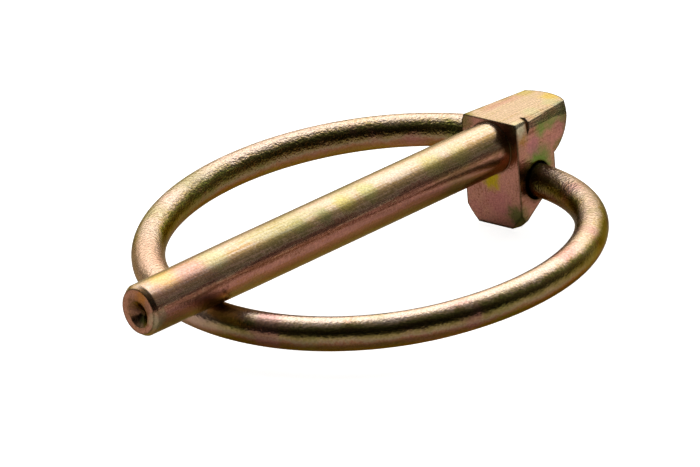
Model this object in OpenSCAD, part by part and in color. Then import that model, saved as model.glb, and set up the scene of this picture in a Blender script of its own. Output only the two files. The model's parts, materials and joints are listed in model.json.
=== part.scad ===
// Lynch pin: a forged shank with a shouldered head, and a sprung wire ring
// whose two ends sit in staggered cross bores in the head.
// Frame: X runs along the shank, from the tip (-X) to the head (+X), with the
// origin on the shank's axis at the shoulder; +Z is up, with the ring below.

/* [Shank] */
// Diameter of the shank
shank_d = 6; // [4.5:0.1:8]
// Length of full diameter in front of the shoulder
usable_len = 42; // [36:0.5:43]
// Length from the shoulder to the tip
shank_len = 58.2; // [54:0.2:70]
// Diameter at the tip, after the lead-in taper
tip_d = 5.8; // [4:0.05:6]
// Chamfer on the rim of the tip, along the shank
tip_chamfer = 0.6; // [0.3:0.1:1.2]
// Turn of the cropped end face from square
tip_skew = 6; // [0:0.5:10]
// Diameter of the dimple in the end face
dimple_d = 3; // [1.6:0.1:3.6]
// Depth of the dimple
dimple_depth = 0.75; // [0.3:0.05:1.2]

/* [Head] */
// Width of the head at the shoulder
head_w = 8.1; // [7:0.02:9.5]
// How much narrower the head is on each side at its back
taper = 0.34; // [0.1:0.02:0.6]
// Height of the top face over the shank's axis
head_top = 3.34; // [3.1:0.02:4.5]
// Depth of the shoulder's lower edge below the shank's axis
head_drop = 9.3; // [8.2:0.1:11]
// Depth of the block behind the shoulder
block_len = 6.55; // [6.2:0.05:8]
// Slope of the block's lower back face
back_slope = 0.6; // [0.5:0.02:0.7]
// Radius of the rounded thumb tab
tab_r = 6; // [5.4:0.1:7]
// Distance of the tab's centre behind the shoulder
tab_x = 4.38; // [4:0.1:5.5]
// Height of the tab's centre over the shank's axis
tab_z = 2.25; // [1.6:0.05:2.6]
// Where the notch on the near upper edge starts behind the shoulder
bevel_from = 1.94; // [1.6:0.02:3]
// Width of the bevel behind that notch
bevel = 0.85; // [0.5:0.05:1.3]
// Size of the knocked-off lower corners of the shoulder
corner = 1.9; // [1:0.1:2.4]

/* [Ring] */
// Diameter of the wire
wire_d = 3.8; // [3:0.1:4.2]
// Diameter of each cross bore
bore_d = 4.46; // [4.4:0.02:4.8]
// Distance of the cross bores behind the shoulder
bore_x = 3.3; // [3.2:0.02:3.6]
// Height of the near side's bore over the shank's axis
near_bore_z = -4.2; // [-4.5:0.02:-4]
// Height of the far side's bore over the shank's axis
far_bore_z = 0.12; // [-0.2:0.02:0.5]
// Half the gap between the two wire ends inside the head
end_gap = 1.1; // [1:0.05:1.6]
// Clearance between the closed ring and the shank
rest_gap = 0.05; // [0.03:0.01:0.2]
// Distance from the shoulder to the wire's centre where it passes under the shank
ring_reach = 46; // [45:0.1:48]

/* [Hidden] */
$fn = 96;
half_w = head_w / 2;
steel = "#b9a184";

// radius of the shank at a distance x in front of the shoulder
function shank_r(x) = x < usable_len ? shank_d / 2
    : shank_d / 2 + (tip_d - shank_d) / 2 * (x - usable_len) / (shank_len - usable_len);

// a direction along a vector
function along(v) = v / norm(v);
// the arc that leaves p along t and ends at q: its inward normal, radius and angle
function arc_n(p, t, q) = along((q - p) - ((q - p) * t) * t);
function arc_r(p, t, q) = ((q - p) * (q - p)) / (2 * ((q - p) * arc_n(p, t, q)));
function arc_a(p, t, q) = 2 * atan2((q - p) * arc_n(p, t, q), (q - p) * t);
// two arcs that join (p, t) to (q, u) smoothly; d sets how long the first one is
function back_len(p, t, q, u, d) =
    (((q - p) * (q - p)) / 2 - d * ((q - p) * t)) / ((q - p) * u + d * (1 - t * u));
function joint_at(p, t, q, u, d, e) = (e * (p + d * t) + d * (q - e * u)) / (d + e);
function joint_dir(p, t, q, u, d, e) = along((q - e * u) - (p + d * t));

// where the wire ends, and where it passes under the shank
wire_x = bore_x + 0.26;
ring_r = (ring_reach + wire_x) / 2;
near_end = [wire_x, -end_gap, near_bore_z - 0.06];
far_end = [wire_x, end_gap, far_bore_z];
under = [-ring_reach, 0, -(shank_r(ring_reach) + rest_gap + wire_d / 2)];
near_dir = along([-0.045, -1, 0.038]);
far_dir = along([0.09, -1, 0]);
under_dir = along([0, 1, 0.06]);

// one arc of wire; lap0 and lap1 are how far it runs into its neighbours
module arc_wire(p, t, q, d, lap0 = 0, lap1 = 0) {
    n = arc_n(p, t, q);
    r = arc_r(p, t, q);
    b = cross(t, n);
    c = p + r * n;
    back = lap0 / r * 180 / PI;
    multmatrix([[-n.x, t.x, b.x, c.x], [-n.y, t.y, b.y, c.y], [-n.z, t.z, b.z, c.z]])
        rotate([0, 0, -back])
            rotate_extrude(angle = arc_a(p, t, q) + back + lap1 / r * 180 / PI)
                translate([r, 0]) circle(d = d, $fn = 48);
}

// the second arc of a pair is a hair thinner, so it laps inside its neighbours
module arc_pair(p, t, q, u, d, lap1) {
    e = back_len(p, t, q, u, d);
    m = joint_at(p, t, q, u, d, e);
    arc_wire(p, t, m, wire_d);
    arc_wire(m, joint_dir(p, t, q, u, d, e), q, wire_d - 0.02, 0.3, lap1);
}

module along_x(x0, x1, r0, r1) {
    translate([x0, 0, 0]) rotate([0, 90, 0]) cylinder(h = x1 - x0, r1 = r0, r2 = r1);
}

// the shank: parallel over its usable length, then a slight lead-in taper
module shank() {
    intersection() {
        union() {
            along_x(-usable_len, 1, shank_d / 2, shank_d / 2);
            along_x(-shank_len - 1, -usable_len, tip_d / 2 - (shank_d - tip_d) / 2 / (shank_len - usable_len), shank_d / 2);
        }
        // the cropped, chamfered end, a few degrees out of square
        translate([-shank_len, 0, 0]) rotate([0, 0, -tip_skew])
            union() {
                along_x(0, tip_chamfer, tip_d / 2 - 0.35, tip_d / 2 + 0.05);
                along_x(tip_chamfer, shank_len + 4, tip_d / 2 + 0.05, tip_d / 2 + 8);
            }
    }
}

// side outline of the block, x along and z up
module side_outline() {
    polygon([[0, head_top], [block_len, head_top], [block_len, back_slope * block_len - head_drop + 0.34],
        [1.1, back_slope * 1.1 - head_drop + 0.34], [0.35, 0.28 - head_drop], [0, -head_drop]]);
}

// plan outline: sides that draw in towards the back
module plan_outline() {
    polygon([[0, -half_w], [6.5, taper - half_w], [12, taper - half_w], [12, half_w - taper], [6.5, half_w - taper], [0, half_w]]);
}

// front outline, y across and z up
module front_outline() {
    polygon([[-half_w, head_top - 0.42], [0.24 - half_w, head_top], [half_w - 0.33, head_top], [half_w, head_top - 0.75],
        [half_w, 1 - head_drop], [half_w - 0.9, -head_drop], [0.9 - half_w, -head_drop], [-half_w, 1 - head_drop]]);
}

module head() {
    difference() {
        intersection() {
            union() {
                rotate([90, 0, 0]) linear_extrude(height = 14, center = true) side_outline();
                // thumb tab
                intersection() {
                    translate([tab_x, 0, tab_z]) sphere(r = tab_r);
                    translate([tab_x, -7, -7]) cube([14, 14, 7 + head_top]);
                }
            }
            translate([0, 0, -12]) linear_extrude(height = 18) plan_outline();
            rotate([90, 0, 90]) linear_extrude(height = 14) front_outline();
        }
        // bevel along the near upper edge: a steep facet that drops towards the tab, then a flatter one
        translate([bevel_from + 0.16, 0.148 - half_w, 2.232]) rotate([0, 2.06, 0]) rotate([90, 0, 92.06])
            linear_extrude(height = 12) polygon([[-2, 3], [-2, 0], [0, 0], [1.083, 3]]);
        translate([bevel_from + 0.36, 0.15 - half_w + bevel, head_top]) rotate([90, 0, 90])
            linear_extrude(height = 12) polygon([[-2, 0.9], [-2, -0.7], [-0.917, -0.7], [1.179, 0.9]]);
        // notch where that bevel starts, behind the shoulder
        translate([bevel_from - 0.06, -0.065 - half_w, 1.46]) rotate([-38, 14.6, 0])
            linear_extrude(height = 4) polygon([[0, 0], [1.51, -2.96], [-2.09, -2.98]]);
        // the far upper edge is dressed back a little more towards the tab
        translate([0, half_w, 0]) rotate([90, 0, 84.5]) translate([0, 0, -1]) linear_extrude(height = 14)
            polygon([[2, head_top + 1], [2, head_top - 0.8], [0.02, head_top - 0.8], [-0.33, head_top], [-0.33, head_top + 1]]);
        // lower corners knocked off the shoulder
        for (s = [0, 1]) mirror([0, s, 0])
            translate([0, -half_w, corner - head_drop]) rotate([39.6, 0, 0])
                translate([0, 0, -5]) linear_extrude(height = 10) polygon([[-1.3, 1.54], [3.2, -3.8], [-3, -3.8]]);
    }
}

module pin() {
    color(steel)
    difference() {
        union() {
            head();
            intersection() {
                shank();
                translate([-100, -20, -20]) cube([101, 40, 20 + head_top]);
            }
        }
        // staggered blind bores for the ring's ends
        translate([bore_x, -0.75, near_bore_z]) rotate([90, 0, 0]) cylinder(h = 10, d = bore_d);
        translate([bore_x, 10.75, far_bore_z]) rotate([90, 0, 0]) cylinder(h = 10, d = bore_d);
        // dimple in the end face
        translate([-shank_len, 0, -0.35]) rotate([0, 0, -tip_skew])
            along_x(-0.5, dimple_depth, dimple_d / 2 + 0.5 * (dimple_d / 2 - 0.3) / dimple_depth, 0.3);
    }
}

module ring() {
    color(steel)
    union() {
        arc_pair(near_end, near_dir, under, under_dir, ring_r * 1.573, 0.3);
        arc_pair(under, under_dir, far_end, far_dir, ring_r * 0.355, 0);
    }
}

pin();
ring();
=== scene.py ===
# Lynch pin in yellow-passivated zinc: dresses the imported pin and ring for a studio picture.
import json
import math

import bpy
from mathutils import Matrix, Vector


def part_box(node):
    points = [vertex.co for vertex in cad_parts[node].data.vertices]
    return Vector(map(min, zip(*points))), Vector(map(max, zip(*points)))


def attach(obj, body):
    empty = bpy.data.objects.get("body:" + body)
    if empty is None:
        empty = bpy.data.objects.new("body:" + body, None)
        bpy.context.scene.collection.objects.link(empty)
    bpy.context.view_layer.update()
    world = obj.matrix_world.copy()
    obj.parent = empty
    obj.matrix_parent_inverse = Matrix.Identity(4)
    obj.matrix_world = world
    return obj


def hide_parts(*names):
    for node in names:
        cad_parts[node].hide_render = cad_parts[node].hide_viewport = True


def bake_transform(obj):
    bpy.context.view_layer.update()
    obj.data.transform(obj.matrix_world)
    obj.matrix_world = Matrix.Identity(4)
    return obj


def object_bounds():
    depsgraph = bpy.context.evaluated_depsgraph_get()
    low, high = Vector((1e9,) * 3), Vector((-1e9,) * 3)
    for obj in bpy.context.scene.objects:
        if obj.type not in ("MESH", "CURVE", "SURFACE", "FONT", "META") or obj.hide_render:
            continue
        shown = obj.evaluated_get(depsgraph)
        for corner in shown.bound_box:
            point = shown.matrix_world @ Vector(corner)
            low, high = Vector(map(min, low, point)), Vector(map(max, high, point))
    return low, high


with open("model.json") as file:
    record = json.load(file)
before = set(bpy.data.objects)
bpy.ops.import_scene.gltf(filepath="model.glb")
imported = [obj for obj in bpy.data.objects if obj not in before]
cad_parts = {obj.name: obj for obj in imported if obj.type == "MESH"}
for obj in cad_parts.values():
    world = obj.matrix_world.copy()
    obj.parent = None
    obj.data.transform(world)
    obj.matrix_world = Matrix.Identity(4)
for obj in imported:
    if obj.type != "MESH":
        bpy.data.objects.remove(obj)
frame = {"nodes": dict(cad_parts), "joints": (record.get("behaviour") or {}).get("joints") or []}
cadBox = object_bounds()
scene = bpy.context.scene
mm = 0.001

pinLow, pinHigh = (Vector(corner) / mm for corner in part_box("pin"))
ringLow = Vector(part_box("ring")[0]) / mm
hinge = Vector(next(j for j in frame["joints"] if j["name"] == "ring_swing")["pos_m"]) / mm
endsApart = 4.4          # mm in height between the wire's two ends, half each side of the hinge
features = {             # places that the marks are told from, mm
    "shoulder": Vector((0, 0, 0)),
    "tip": Vector((pinLow.x, 0, 0)),
    "topFace": Vector((0, 0, pinHigh.z)),
    "nearSide": Vector((0, pinLow.y, 0)),
    "nearBore": Vector((hinge.x, pinLow.y, hinge.z - endsApart / 2)),
    "bend": Vector((ringLow.x, 0, hinge.z)),      # the ring's far end, past the tip
}


def linear(hexColour):
    # sRGB hex to the linear values that the shader takes
    parts = [int(hexColour[i:i + 2], 16) / 255 for i in (1, 3, 5)]
    return [c / 12.92 if c <= 0.04045 else ((c + 0.055) / 1.055) ** 2.4 for c in parts] + [1.0]


def addNode(tree, kind, place, links=(), sockets=(), **settings):
    # one node: the links that feed it as (node, output, socket), the values of sockets that go by
    # number, and its other settings by attribute or socket name
    node = tree.nodes.new(kind)
    node.location = place
    for socket, value in sockets:
        node.inputs[socket].default_value = value
    for name, value in settings.items():
        if hasattr(node, name):
            setattr(node, name, value)
        else:
            node.inputs[name.replace("_", " ")].default_value = value
    for source, output, socket in links:
        tree.links.new(source.outputs[output], node.inputs[socket])
    return node


# Yellow-passivated zinc: steel barrel-plated with zinc, then dipped in a chromate bath. The film is
# thin enough to show interference colours. Its colour here goes by how far a face looks up: straw where
# a face lay uppermost and drained well, through bronze and green, to rose on the sides and olive
# underneath; partly the film's hue and partly painted light and shade, each facing made lighter or
# darker as the light falls on it.
film = {
    "cloud": 3.4,            # mm across one cloud of colour
    "cloudSwing": 0.34,      # how far a cloud shifts the hue, as a share of the whole scale
    "mottle": 0.34,          # mm; real crystals are finer, drawn as coarse as they need to show
    "mottleSwing": 0.16,
    "lineSwing": 0.34,       # the same for lines drawn or ground into the metal
    "bloom": 5.5,            # mm across a green or pink bloom
    "bloomLayout": 3.7,      # which slice of the noise lays the blooms out
    # the greenest and the pinkest bloom: noise where each begins and is full, and its share there
    "leaf": "#6f8436", "leafOver": (0.53, 0.70), "leafShare": 0.34,
    "blush": "#b06a70", "blushOver": (0.46, 0.32), "blushShare": 0.4,
    "roughness": 0.24,       # satin, as tumbling leaves it
    "ragged": 1.1,           # mm across the notches round a mark
    "raggedBy": 2.6,         # mm that they reach
    "markOver": (1.1, 0.3),  # shares of a mark's reach where it begins and is full
    "speckle": 0.24,         # mm across a speck, lighter or darker by speckleSwing
    "speckleOver": (0.35, 0.65), "speckleSwing": 0.17,
}


def fillRamp(ramp, stops):
    # stops are (position, colour), in rising order
    made = ramp.color_ramp.elements
    made[1].position, made[1].color = stops[-1]
    made[0].position, made[0].color = stops[0]
    for position, colour in stops[1:-1]:
        made.new(position).color = colour


def filmAndPaintedLight(tree, coords, facing, piece, lines=None):
    # the piece's hue scale, with painted light and shade, driven by how far a face looks up, by clouds,
    # mottling and any drawn lines
    # coords and facing are (node, output) for where a point is and which way it looks
    looks = addNode(tree, "ShaderNodeSeparateXYZ", (-1900, 500), [(*facing, "Vector")])
    drawn = addNode(tree, "ShaderNodeMapping", (-2100, 250), [(*coords, "Vector")],
                    Scale=(1 / piece["cloudDraw"], 1.0, 1.0))
    clouds = addNode(tree, "ShaderNodeTexNoise", (-1900, 250), [(drawn, "Vector", "Vector")],
                     Scale=1000 / film["cloud"], Detail=5.0, Roughness=0.6)
    mottle = addNode(tree, "ShaderNodeTexNoise", (-1900, 0), [(*coords, "Vector")],
                     Scale=1000 / film["mottle"], Detail=1.0, Roughness=0.5)
    swing = film["cloudSwing"] + film["mottleSwing"] + (film["lineSwing"] if lines else 0)
    # painted light and shade: how far a face looks up picks its place on the scale, lighter or darker as
    # the light falls
    upward = addNode(tree, "ShaderNodeMapRange", (-1700, 500), [(looks, "Z", "Value")],
                     From_Min=-1.0, From_Max=1.0, To_Min=-swing / 2, To_Max=1 - swing / 2)
    clouded = addNode(tree, "ShaderNodeMath", (-1500, 400), [(clouds, "Fac", 0), (upward, "Result", 2)],
                      [(1, film["cloudSwing"])], operation="MULTIPLY_ADD")
    thicknessAndPaintedLight = addNode(tree, "ShaderNodeMath", (-1350, 300),
                        [(mottle, "Fac", 0), (clouded, "Value", 2)],
                        [(1, film["mottleSwing"])], operation="MULTIPLY_ADD")
    if lines:
        thicknessAndPaintedLight = addNode(tree, "ShaderNodeMath", (-1250, 400),
                            [(lines, "Fac", 0), (thicknessAndPaintedLight, "Value", 2)],
                            [(1, film["lineSwing"])], operation="MULTIPLY_ADD")
    hues = addNode(tree, "ShaderNodeValToRGB", (-1100, 300), [(thicknessAndPaintedLight, "Value", "Fac")])
    fillRamp(hues, [(position, linear(hue)) for position, hue in piece["hues"]])

    # green and pink blooms, each a share of one colour
    bloom = addNode(tree, "ShaderNodeTexNoise", (-1900, -250), [(drawn, "Vector", "Vector")],
                    noise_dimensions="4D", W=film["bloomLayout"],
                    Scale=1000 / film["bloom"], Detail=3.0, Roughness=0.55)
    greenShare = addNode(tree, "ShaderNodeMapRange", (-1500, -150), [(bloom, "Fac", "Value")],
                         interpolation_type="SMOOTHSTEP", From_Min=film["leafOver"][0],
                         From_Max=film["leafOver"][1], To_Max=film["leafShare"])
    greened = addNode(tree, "ShaderNodeMix", (-900, 250),
                      [(greenShare, "Result", 0), (hues, "Color", 6)],
                      [(7, linear(film["leaf"]))], data_type="RGBA")
    pinkShare = addNode(tree, "ShaderNodeMapRange", (-1500, -400), [(bloom, "Fac", "Value")],
                        interpolation_type="SMOOTHSTEP", From_Min=film["blushOver"][0],
                        From_Max=film["blushOver"][1], To_Max=film["blushShare"])
    colour = addNode(tree, "ShaderNodeMix", (-700, 250), [(pinkShare, "Result", 0), (greened, 2, 6)],
                     [(7, linear(film["blush"]))], data_type="RGBA")

    # the marks are balls of colour with ragged edges; noise moves a point by half of raggedBy on
    # average, so each ball's middle moves by that much too
    ragged = addNode(tree, "ShaderNodeTexNoise", (-1900, -900), [(*coords, "Vector")],
                     Scale=1000 / film["ragged"], Detail=6.0, Roughness=0.75)
    nudge = addNode(tree, "ShaderNodeVectorMath", (-1700, -900), [(ragged, "Color", 0), (*coords, 2)],
                    [(1, [film["raggedBy"] * mm] * 3)], operation="MULTIPLY_ADD")
    for feature, offset, reach, hue, share in piece["marks"]:
        middle = [(part + film["raggedBy"] / 2) * mm for part in features[feature] + Vector(offset)]
        away = addNode(tree, "ShaderNodeVectorMath", (-1500, -900), [(nudge, "Vector", 0)],
                       [(1, middle)], operation="DISTANCE")
        begins, full = (reach * part * mm for part in film["markOver"])
        near = addNode(tree, "ShaderNodeMapRange", (-1300, -900), [(away, "Value", "Value")],
                       interpolation_type="SMOOTHSTEP", From_Min=begins, From_Max=full, To_Max=share)
        colour = addNode(tree, "ShaderNodeMix", (-500, 250), [(near, "Result", 0), (colour, 2, 6)],
                         [(7, linear(hue))], data_type="RGBA")

    speckle = addNode(tree, "ShaderNodeTexNoise", (-1900, -1200), [(*coords, "Vector")],
                      Scale=1000 / film["speckle"], Detail=2.0, Roughness=0.7)
    shade = addNode(tree, "ShaderNodeMapRange", (-1700, -1200), [(speckle, "Fac", "Value")],
                    From_Min=film["speckleOver"][0], From_Max=film["speckleOver"][1],
                    To_Min=1 - film["speckleSwing"], To_Max=1 + film["speckleSwing"])
    return addNode(tree, "ShaderNodeMix", (-400, 250), [(colour, 2, 6), (shade, "Result", 7)],
                   data_type="RGBA", blend_type="MULTIPLY", Factor=1.0)


def zincShader(tree, colour, normal, rim):
    shader = addNode(tree, "ShaderNodeBsdfPrincipled", (-200, 0),
                     [(colour, 2, "Base Color"), (normal, "Normal", "Normal")],
                     Metallic=1.0, Roughness=film["roughness"], Specular_Tint=linear(rim))
    addNode(tree, "ShaderNodeOutputMaterial", (100, 0), [(shader, "BSDF", "Surface")])


def newMaterial(name):
    material = bpy.data.materials.new(name)
    material.use_nodes = True
    material.node_tree.nodes.clear()
    return material, material.node_tree


forging = {
    # hue, with painted light and shade, by how far a face looks up: 0 straight down, 1 straight up
    "hues": [(0.00, "#8a7048"), (0.21, "#a88858"), (0.28, "#a87850"), (0.36, "#b47856"),
             (0.44, "#c48676"), (0.53, "#c08670"), (0.60, "#92604b"), (0.66, "#ae785f"),
             (0.74, "#ceaa8a"), (0.81, "#a08151"), (0.87, "#b0926e"), (0.94, "#bca790"),
             (1.00, "#c2aa99")],
    "edge": 0.20,            # mm; tumbling and plating round every edge
    "edgeShadeWidth": 0.45,        # mm either side of an edge where dark shade is painted
    "edgeShadeOver": (0.985, 0.93),         # cosines of the turn where that begins and is full
    "edgeShadeHue": "#3c3a1a", "edgeShadeShare": 0.8,
    "streak": 0.22, "streakDepth": 0.030,  # mm; drawing marks along the shank, belt marks along the head
    "streakPinch": 0.035,    # along the pin, so a streak is some thirty times as long as it is wide
    "streakOnShank": 0.25,   # share of the streaks' depth that the shank shows
    "headFrom": -0.4, "headFull": 0.1,     # mm; where the streaks deepen at the shoulder
    "cloudDraw": 3.2,        # how many times longer the clouds are along the pin than across
    "grain": 0.30, "grainDepth": 0.016,    # mm
    "rim": "#cfc098",        # the film stays yellow right to the rim, where bare metal would whiten
    # where the bath pooled or drained, and where shade or highlights are painted: feature, offset from
    # it in mm, reach in mm, colour, share
    "marks": [
        ("shoulder", (0.0, 0.2, -3.8), 1.7, "#b8a010", 0.95),     # yellow under the root of the shank
        ("shoulder", (0.0, -3.4, -7.6), 1.9, "#4c6424", 0.8),     # green in the low corner
        ("shoulder", (0.0, 3.6, 2.8), 1.7, "#6c6a30", 0.7),
        ("shoulder", (0.0, -0.4, -6.4), 2.4, "#b0606c", 0.35),
        ("shoulder", (0.0, -3.0, 0.6), 1.8, "#4e5424", 0.6),      # painted shade in dark olive beside the root of the shank
        ("nearBore", (0.1, 0.0, 1.7), 3.1, "#558430", 0.85),      # green round its upper half
        ("nearBore", (-0.4, 0.0, -0.4), 2.9, "#2a180e", 0.9),     # painted shade round the wire where it goes into the bore
        # painted shade on the flank beside the wire
        ("nearBore", (-2.3, 0.0, 0.1), 1.7, "#2c1c10", 0.75),
        ("nearSide", (4.4, 0.0, 1.9), 1.5, "#6a9440", 0.7),       # green along the bevel
        ("nearSide", (6.4, 0.0, 2.2), 1.5, "#6a8c40", 0.7),
        ("nearSide", (8.2, 0.0, 2.4), 1.5, "#6a8c40", 0.6),
        ("nearSide", (3.6, 0.35, 3.2), 1.2, "#c8a478", 0.55),     # brown on the bevel's steep side
        ("nearSide", (5.2, 0.35, 3.2), 1.2, "#d0a87c", 0.6),
        ("nearSide", (7.0, 0.35, 3.2), 1.2, "#c8a070", 0.55),
        ("nearSide", (0.5, 0.0, 3.0), 1.5, "#dcd4b0", 0.8),       # painted highlight: pale beside the notch
        ("nearSide", (1.1, 0.0, 1.9), 1.2, "#a8a080", 0.5),
        ("topFace", (2.6, 3.7, 0.0), 1.3, "#8c7244", 0.5),        # brown along its far edge
        ("topFace", (6.4, 3.8, 0.0), 1.4, "#8a6c40", 0.55),
        ("topFace", (4.6, -2.4, 0.0), 1.6, "#b8c098", 0.35),      # greenish along its near edge
        ("topFace", (8.2, -2.4, 0.0), 1.6, "#b4bc90", 0.4),
        ("nearSide", (9.7, 0.0, 2.0), 2.0, "#4f5c2c", 0.7),       # olive round the tab's edge
        ("nearSide", (9.5, 0.0, 0.2), 1.8, "#5c6634", 0.65),
        ("nearSide", (7.9, 0.0, -1.9), 1.8, "#6a6230", 0.65),
        ("topFace", (9.6, -1.0, 0.0), 1.7, "#c8ae3c", 0.55),      # straw at the end of the tab
        ("topFace", (8.9, 2.4, 0.0), 1.6, "#b0a85c", 0.5),
        ("nearSide", (1.2, 0.0, 1.1), 0.9, "#b07c40", 0.7),       # a rusty drop
        ("nearSide", (2.8, 0.0, 0.1), 1.7, "#b0647c", 0.45),
        ("nearSide", (7.6, 0.0, -1.2), 1.2, "#66702e", 0.6),
        ("tip", (3.7, -0.4, 3.0), 2.6, "#c8a858", 0.5),           # straw on top of the tip
        ("tip", (11.3, -1.2, 2.7), 2.4, "#9cac70", 0.35),
        ("tip", (32.1, -1.7, 2.4), 1.8, "#aca048", 0.6),          # green and straw along the shank
        ("tip", (28.5, -2.0, 2.2), 1.6, "#7c8048", 0.6),
        ("tip", (35.9, -1.6, 2.4), 1.8, "#98a058", 0.5),
        ("tip", (24.5, -1.9, 2.3), 1.6, "#8e8a50", 0.5),
        ("shoulder", (-12.0, -2.0, 2.2), 2.2, "#a09a50", 0.45),
        ("shoulder", (-7.6, -2.1, 2.1), 1.8, "#a49c50", 0.4),
        ("tip", (10.9, -3.0, -0.4), 0.55, "#3c2010", 0.8),        # a pit
        # painted shade: the tip's end face darkened
        ("tip", (-0.1, 0.0, 0.0), 3.6, "#86603c", 0.6),
        ("tip", (0.7, -0.2, 0.1), 2.0, "#2c140c", 0.9),           # painted shade on the dimple's floor
        ("tip", (0.3, -0.4, -1.0), 0.9, "#46562a", 0.7),
        ("tip", (0.1, -0.6, 1.9), 1.1, "#b0702c", 0.7),
        ("tip", (0.5, -2.6, -0.6), 1.3, "#9c9c78", 0.6),          # painted highlight: pale rim of the tip
    ],
}


def paintedEdgeShade(tree, colour):
    # painted shade: a dark band along every edge, standing in for the dark reflections that edges show
    rounded = addNode(tree, "ShaderNodeBevel", (-1500, -1300),
                      Radius=forging["edgeShadeWidth"] * mm, samples=6)
    facet = addNode(tree, "ShaderNodeNewGeometry", (-1500, -1500))
    agree = addNode(tree, "ShaderNodeVectorMath", (-1300, -1300),
                    [(rounded, "Normal", 0), (facet, "True Normal", 1)], operation="DOT_PRODUCT")
    onEdge = addNode(tree, "ShaderNodeMapRange", (-1100, -1300), [(agree, "Value", "Value")],
                     From_Min=forging["edgeShadeOver"][0], From_Max=forging["edgeShadeOver"][1],
                     To_Max=forging["edgeShadeShare"])
    return addNode(tree, "ShaderNodeMix", (-350, 250), [(onEdge, "Result", 0), (colour, 2, 6)],
                   [(7, linear(forging["edgeShadeHue"]))], data_type="RGBA")


def forgingZinc():
    # the forged pin: smooth drawn shank, belt-ground head
    material, tree = newMaterial("yellowZincForging")
    own = addNode(tree, "ShaderNodeTexCoord", (-2400, 0))
    coords = (own, "Object")
    long = addNode(tree, "ShaderNodeMapping", (-2100, -700), [(*coords, "Vector")],
                   Scale=(forging["streakPinch"], 1.0, 1.0))
    streaks = addNode(tree, "ShaderNodeTexNoise", (-1900, -700), [(long, "Vector", "Vector")],
                      Scale=1000 / forging["streak"], Detail=2.0)
    # painted shade along the edges goes over the film's colour
    colour = paintedEdgeShade(tree, filmAndPaintedLight(tree, coords, (own, "Normal"), forging, streaks))
    place = addNode(tree, "ShaderNodeSeparateXYZ", (-2100, -1400), [(*coords, "Vector")])
    onHead = addNode(tree, "ShaderNodeMapRange", (-1900, -1400), [(place, "X", "Value")],
                     From_Min=forging["headFrom"] * mm, From_Max=forging["headFull"] * mm,
                     To_Min=forging["streakOnShank"])
    drawn = addNode(tree, "ShaderNodeMath", (-1000, -700), [(streaks, "Fac", 0), (onHead, "Result", 1)],
                    operation="MULTIPLY")
    grain = addNode(tree, "ShaderNodeTexNoise", (-1300, -950), [(*coords, "Vector")],
                    Scale=1000 / forging["grain"], Detail=2.0)
    rounded = addNode(tree, "ShaderNodeBevel", (-1000, -1100), Radius=forging["edge"] * mm, samples=8)
    # a bump's distance is the real height of the relief
    fine = addNode(tree, "ShaderNodeBump", (-800, -900),
                   [(grain, "Fac", "Height"), (rounded, "Normal", "Normal")],
                   Strength=1.0, Distance=forging["grainDepth"] * mm)
    surface = addNode(tree, "ShaderNodeBump", (-600, -700),
                      [(drawn, "Value", "Height"), (fine, "Normal", "Normal")],
                      Strength=1.0, Distance=forging["streakDepth"] * mm)
    zincShader(tree, colour, surface, forging["rim"])
    return material


pin = frame["nodes"]["pin"]
pin.material_slots[0].material = forgingZinc()
print("pin dressed")

wire = {
    "radius": 1.9,           # mm, as all lengths here
    "around": 48, "perArc": 72,            # faces round the wire and along each arc
    "endX": 3.56, "endGap": 1.1, "nearZ": -4.26, "farZ": 0.12,   # the ends in their bores
    "under": (-46.0, 0.0, -4.89),          # below the shank
    # which way the wire runs: out of the near bore, into the far one, and under the shank
    "nearOut": (-0.045, -1.0, 0.038), "farIn": (0.09, -1.0, 0.0), "across": (0.0, 1.0, 0.06),
    "nearReach": 38.98, "farReach": 8.80,  # share each half between two arcs
    # x and distance from the middle: a stretch along each end, which the wire is cut just past
    "turnFrom": (3.56, 2.5), "turnTo": (0.56, 17.0),
    # hue, with painted light and shade, by how far the skin looks up, a duller scale than the forging's
    "hues": [(0.00, "#7d6230"), (0.21, "#94703a"), (0.28, "#986c3a"), (0.36, "#a87656"),
             (0.44, "#a68c68"), (0.53, "#957f4e"), (0.60, "#746436"), (0.66, "#5e5028"),
             (0.74, "#766234"), (0.81, "#857d42"), (0.87, "#b49a74"), (0.94, "#c6b09a"),
             (1.00, "#c8b0a0")],
    "cloudDraw": 1.0,
    "grain": 0.30, "grainDepth": 0.045,    # orange peel that the coiling left
    "rougher": 3.0,          # how many times deeper where the skin opened up most
    "openFar": (2.0, 20.0),  # how far to the far side it starts to open up and is full
    "openHead": (-9.0, 3.0),               # the same along x, by the bores where the bend starts
    "rim": "#b8a47c",        # a thicker film, browner where the wire turns away from the eye
    # where the bath pooled or drained, and where shade or highlights are painted, as for the forging
    "marks": [
        ("bend", (1.5, 5.0, -1.4), 8.0, "#cca694", 0.85),         # rose where the hoop runs widest, made pale as a painted highlight
        # the same pale rose and painted highlight further round
        ("bend", (6.0, 15.0, -0.6), 7.0, "#ccaa96", 0.8),
        ("bend", (15.0, 22.6, 0.0), 3.2, "#7c9440", 0.35),        # green along the far side
        ("bend", (23.5, 24.5, 0.5), 4.0, "#5c7a30", 0.4),
        ("nearBore", (-4.4, -16.6, 0.4), 3.6, "#b0a272", 0.7),    # straw round the near swell
        ("nearBore", (-9.4, -20.4, 0.4), 4.0, "#b0a272", 0.7),
        ("nearBore", (-15.0, -22.6, 0.2), 3.6, "#a89a68", 0.5),
        ("nearBore", (0.0, -1.5, 0.8), 2.4, "#5a3c1c", 0.6),      # painted shade where it enters the bore
    ],
}


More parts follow.
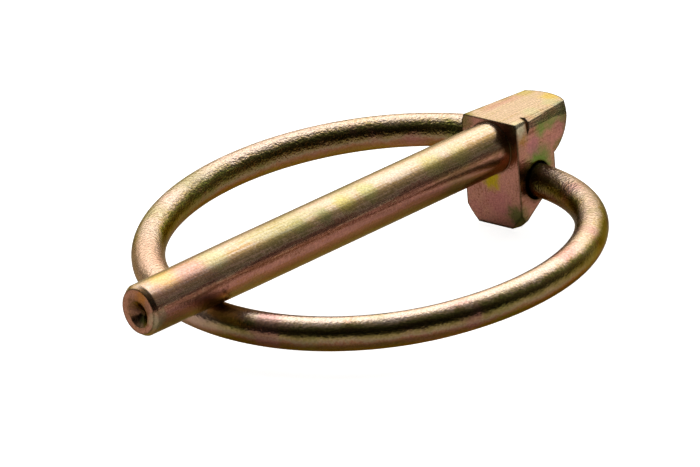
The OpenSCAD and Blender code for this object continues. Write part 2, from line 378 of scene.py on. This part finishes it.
def arcPoints(start, heading, end, count):
    # points and headings on the arc that leaves start along heading and passes through end
    chord = end - start
    along = chord.dot(heading)
    side = chord - along * heading
    radius = chord.length_squared / (2 * side.length)
    angle = 2 * math.atan2(side.length, along)
    side.normalize()
    line = []
    for i in range(count + 1):
        a = angle * i / count
        line.append((start + radius * (1 - math.cos(a)) * side + radius * math.sin(a) * heading,
                     math.sin(a) * side + math.cos(a) * heading))
    return line


def arcPair(start, heading, end, arriving, reach, count):
    # two arcs that meet smoothly between two given headings
    span = end - start
    back = (span.length_squared / 2 - reach * span.dot(heading)) / (
        span.dot(arriving) + reach * (1 - heading.dot(arriving)))
    a, b = start + reach * heading, end - back * arriving
    middle = (back * a + reach * b) / (reach + back)
    onward = (b - a).normalized()
    return arcPoints(start, heading, middle, count)[:-1] + arcPoints(middle, onward, end, count)


def springWireZinc():
    # cold-coiled spring wire: the same film over a pebbly skin
    material, tree = newMaterial("yellowZincSpringWire")
    coords = (addNode(tree, "ShaderNodeAttribute", (-2400, 0), attribute_name="placeInBath"), "Vector")
    facing = (addNode(tree, "ShaderNodeAttribute", (-2400, 300),
                      attribute_name="facingInBath"), "Vector")
    colour = filmAndPaintedLight(tree, coords, facing, wire)
    grain = addNode(tree, "ShaderNodeTexNoise", (-1300, -950), [(*coords, "Vector")],
                    Scale=1000 / wire["grain"], Detail=2.0)
    place = addNode(tree, "ShaderNodeSeparateXYZ", (-2100, -1400), [(*coords, "Vector")])
    farSide = addNode(tree, "ShaderNodeMapRange", (-1700, -1400), [(place, "Y", "Value")],
                      From_Min=wire["openFar"][0] * mm, From_Max=wire["openFar"][1] * mm,
                      To_Min=1.0, To_Max=wire["rougher"])
    byBores = addNode(tree, "ShaderNodeMapRange", (-1700, -1650), [(place, "X", "Value")],
                      From_Min=wire["openHead"][0] * mm, From_Max=wire["openHead"][1] * mm,
                      To_Min=1.0, To_Max=wire["rougher"])
    opened = addNode(tree, "ShaderNodeMath", (-1500, -1500),
                     [(farSide, "Result", 0), (byBores, "Result", 1)], operation="MAXIMUM")
    pebbles = addNode(tree, "ShaderNodeMath", (-1000, -950), [(grain, "Fac", 0), (opened, "Value", 1)],
                      operation="MULTIPLY")
    surface = addNode(tree, "ShaderNodeBump", (-600, -700), [(pebbles, "Value", "Height")],
                      Strength=1.0, Distance=wire["grainDepth"] * mm)
    zincShader(tree, colour, surface, wire["rim"])
    return material


def sweepWire(name, line):
    # a round bar along line, closed at both ends
    points, ways, faces = [], [], []
    n = wire["around"]
    for middle, heading in line:
        out = heading.cross(Vector((0, 0, 1))).normalized()
        over = out.cross(heading).normalized()
        for k in range(n):
            a = 2 * math.pi * k / n
            ways.append(math.cos(a) * out + math.sin(a) * over)
            points.append((middle + wire["radius"] * ways[-1]) * mm)
    for i in range(len(line) - 1):
        for k in range(n):
            faces.append((i * n + k, (i + 1) * n + k, (i + 1) * n + (k + 1) % n, i * n + (k + 1) % n))
    faces.append(tuple(range(n)))
    faces.append(tuple(reversed(range((len(line) - 1) * n, len(line) * n))))
    mesh = bpy.data.meshes.new(name)
    mesh.from_pydata(points, [], faces)
    mesh.update()
    # the film stays as it came out of the bath however the wire is turned later
    for label, values in (("placeInBath", points), ("facingInBath", ways)):
        kept = mesh.attributes.new(label, "FLOAT_VECTOR", "POINT")
        kept.data.foreach_set("vector", [c for value in values for c in value])
    # the skin's own normals run on over the joins between lengths
    mesh.shade_smooth()
    mesh.normals_split_custom_set_from_vertices(ways)
    length = bpy.data.objects.new(name, mesh)
    length.data.materials.append(wireFinish)
    scene.collection.objects.link(length)
    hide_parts("ring")
    return length


def twistStretch(side):
    # where that stretch begins and ends, on the near side (-1) or the far side (1)
    return [Vector((x, side * y, 0)) for x, y in (wire["turnFrom"], wire["turnTo"])]


def beyondTwist(middle, side):
    # past that stretch by the wire's own radius
    begin, end = twistStretch(side)
    return (middle - end).dot((end - begin).normalized()) > wire["radius"]


nearEnd = Vector((wire["endX"], -wire["endGap"], wire["nearZ"]))
farEnd = Vector((wire["endX"], wire["endGap"], wire["farZ"]))
under, across = Vector(wire["under"]), Vector(wire["across"]).normalized()
nearOut, farIn = Vector(wire["nearOut"]).normalized(), Vector(wire["farIn"]).normalized()
wholeLine = arcPair(nearEnd, nearOut, under, across, wire["nearReach"], wire["perArc"])[:-1]
wholeLine += arcPair(under, across, farEnd, farIn, wire["farReach"], wire["perArc"])

# one wire in three lengths: the hoop between the ends goes with the ring, the ends stay in their bores
wireFinish = springWireZinc()
nearTurned = next(i for i, (middle, way) in enumerate(wholeLine) if beyondTwist(middle, -1))
farTurned = max(i for i, (middle, way) in enumerate(wholeLine) if beyondTwist(middle, 1))
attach(sweepWire("springRingHoop", wholeLine[nearTurned:farTurned + 1]), "ring")
for name, side, line in (("springRingNearEnd", -1, wholeLine[:nearTurned + 1]),
                         ("springRingFarEnd", 1, wholeLine[farTurned:])):
    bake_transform(sweepWire(name, line))
print("ring bent")

studio = {
    "towards": (42, 31.5),       # degrees round from +X and up: the middle of the soft box
    # the soft box and its spill over the room fade with the cosine of the angle away from its middle
    "boxEdge": (0.55, 0.86), "spillFrom": -0.42, "spillPower": 2.0,
    "boxLevel": 1.85, "spillLevel": 0.72,
    "boxBottom": (0.04, 0.60),    # sine of the height over which the box fades in above the table
    "lampSize": 0.7, "lampPower": 0.25, "lampAway": 1.0,   # metres, watts, metres
    "floorColour": "#eceae6",
    "floorAcross": 6.0, "floorBelow": 0.0001,     # metres; a hair below, so that no faces share a plane
    # what the floor and the room add for rays from the camera and for rays off metal, where 1 is white
    "floorForCamera": 0.86, "floorInMetal": 0.03,
    "roomForCamera": 1.0, "roomInMetal": 0.019,
}

turn, rise = (math.radians(a) for a in studio["towards"])
lightWay = Vector((math.cos(rise) * math.cos(turn), math.cos(rise) * math.sin(turn), math.sin(rise)))


def rayShare(tree, forCamera, inMetal):
    # one strength for rays from the camera and another for rays off metal or through glass
    path = addNode(tree, "ShaderNodeLightPath", (-900, -500))
    mirrored = addNode(tree, "ShaderNodeMath", (-700, -600),
                       [(path, "Is Glossy Ray", 0), (path, "Is Transmission Ray", 1)], operation="ADD")
    faint = addNode(tree, "ShaderNodeMath", (-550, -600), [(mirrored, "Value", 0)], [(1, inMetal)],
                    operation="MULTIPLY")
    return addNode(tree, "ShaderNodeMath", (-400, -500),
                   [(path, "Is Camera Ray", 0), (faint, "Value", 2)],
                   [(1, forCamera)], operation="MULTIPLY_ADD")


world = bpy.data.worlds.new("softStudio")
scene.world = world
world.use_nodes = True
sky = world.node_tree
sky.nodes.clear()
anyWay = addNode(sky, "ShaderNodeTexCoord", (-1300, 0))
towardsLight = addNode(sky, "ShaderNodeVectorMath", (-1100, 0), [(anyWay, "Generated", 0)],
                       [(1, lightWay)], operation="DOT_PRODUCT")
box = addNode(sky, "ShaderNodeMapRange", (-900, 100), [(towardsLight, "Value", "Value")],
              interpolation_type="SMOOTHSTEP", From_Min=studio["boxEdge"][0],
              From_Max=studio["boxEdge"][1])
spread = addNode(sky, "ShaderNodeMapRange", (-900, -150), [(towardsLight, "Value", "Value")],
                 From_Min=studio["spillFrom"])
spill = addNode(sky, "ShaderNodeMath", (-700, -150), [(spread, "Result", 0)],
                [(1, studio["spillPower"])], operation="POWER")
height = addNode(sky, "ShaderNodeSeparateXYZ", (-1100, 250), [(anyWay, "Generated", "Vector")])
lifted = addNode(sky, "ShaderNodeMapRange", (-900, 300), [(height, "Z", "Value")],
                 interpolation_type="SMOOTHSTEP", From_Min=studio["boxBottom"][0],
                 From_Max=studio["boxBottom"][1], To_Max=studio["boxLevel"])
boxLight = addNode(sky, "ShaderNodeMath", (-550, 200), [(box, "Result", 0), (lifted, "Result", 1)],
                   operation="MULTIPLY")
airShare = rayShare(sky, studio["roomForCamera"], studio["roomInMetal"])
room = addNode(sky, "ShaderNodeMath", (-400, 0), [(spill, "Value", 0), (airShare, "Value", 2)],
               [(1, studio["spillLevel"])], operation="MULTIPLY_ADD")
glow = addNode(sky, "ShaderNodeMath", (-300, 100), [(boxLight, "Value", 0), (room, "Value", 1)],
               operation="ADD")
air = addNode(sky, "ShaderNodeBackground", (-200, 0), [(glow, "Value", "Strength")],
              Color=linear("#ffffff"))
addNode(sky, "ShaderNodeOutputWorld", (0, 0), [(air, "Background", "Surface")])

paper, sheetTree = newMaterial("matPaper")
sheet = addNode(sheetTree, "ShaderNodeBsdfDiffuse", (0, 0), Color=linear(studio["floorColour"]))
paperShare = rayShare(sheetTree, studio["floorForCamera"], studio["floorInMetal"])
whiter = addNode(sheetTree, "ShaderNodeEmission", (0, -200), [(paperShare, "Value", "Strength")])
both = addNode(sheetTree, "ShaderNodeAddShader", (200, 0), [(sheet, 0, 0), (whiter, 0, 1)])
addNode(sheetTree, "ShaderNodeOutputMaterial", (400, 0), [(both, 0, "Surface")])
bpy.ops.mesh.primitive_plane_add(size=studio["floorAcross"],
                                 location=(0, 0, cadBox[0][2] - studio["floorBelow"]))
floor = bpy.context.object
floor.name = "floor"
floor.data.materials.append(paper)

lamp = bpy.data.lights.new("softBox", "AREA")   # the bright middle of the same light
lamp.shape = "DISK"
lamp.size = studio["lampSize"]
lamp.energy = studio["lampPower"]
lampStand = bpy.data.objects.new("softBox", lamp)
lampStand.location = lightWay * studio["lampAway"]
lampStand.rotation_euler = lightWay.to_track_quat("Z", "Y").to_euler()
lampStand.visible_camera = False
scene.collection.objects.link(lampStand)
print("studio built")

# the camera stands beyond the tip on the near side, a long lens looking down at the pin
view = {
    "lookAt": (-22.77, 1.22, -3.01),   # mm
    "away": 0.9,                       # metres
    "bearing": 223.17, "rise": 20.69, "roll": -4.45,   # degrees
    "lens": 418.6, "film": 36,         # mm; how long the lens is and how wide the film
    "clip": (0.05, 20),                # metres
}
bearing, climb = math.radians(view["bearing"]), math.radians(view["rise"])
standpoint = Vector((math.cos(climb) * math.cos(bearing), math.cos(climb) * math.sin(bearing),
                     math.sin(climb)))
lens = bpy.data.cameras.new("studioCamera")
lens.lens = view["lens"]
lens.sensor_width = view["film"]
lens.clip_start, lens.clip_end = view["clip"]
camera = bpy.data.objects.new("studioCamera", lens)
scene.collection.objects.link(camera)
camera.matrix_world = (Matrix.Translation(Vector(view["lookAt"]) * mm + standpoint * view["away"])
                       @ standpoint.to_track_quat("Z", "Y").to_matrix().to_4x4()
                       @ Matrix.Rotation(math.radians(view["roll"]), 4, "Z"))
scene.camera = camera
scene.view_settings.view_transform = "Standard"
print("camera set")
